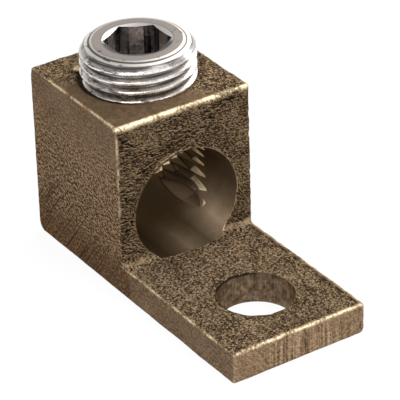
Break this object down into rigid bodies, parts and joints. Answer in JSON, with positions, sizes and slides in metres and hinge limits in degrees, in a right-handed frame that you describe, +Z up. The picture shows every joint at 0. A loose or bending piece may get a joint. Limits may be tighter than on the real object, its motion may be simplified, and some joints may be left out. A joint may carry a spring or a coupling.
{
  "type": "cable lug",
  "caption": "Screw-clamp cable lug: a cast bronze block with a cable bore and a hexagon socket set screw, on a flat tongue with a stud hole.",
  "frame": {"origin": "centre of the stud hole on the seat, the flat underside", "axes": "+X out along the tongue, away from the block; +Z up out of the seat, along the stud and the set screw"},
  "size_m": [0.0473, 0.021, 0.0306],
  "materials": {
    "cast_bronze": "rough sand-cast bronze, brown, with worn edges and machined bores",
    "plated_steel": "bright plated steel with a cut thread and a broached socket"
  },
  "bodies": {
    "lug_body": {"lug_body": "cast_bronze"},
    "set_screw": {"set_screw": "plated_steel"}
  },
  "joints": [
    {"name": "set_screw_travel", "type": "slide", "parent": "lug_body", "child": "set_screw", "axis": [0, 0, 1], "range_m": [-0.0127, 0.00282]}
  ]
}
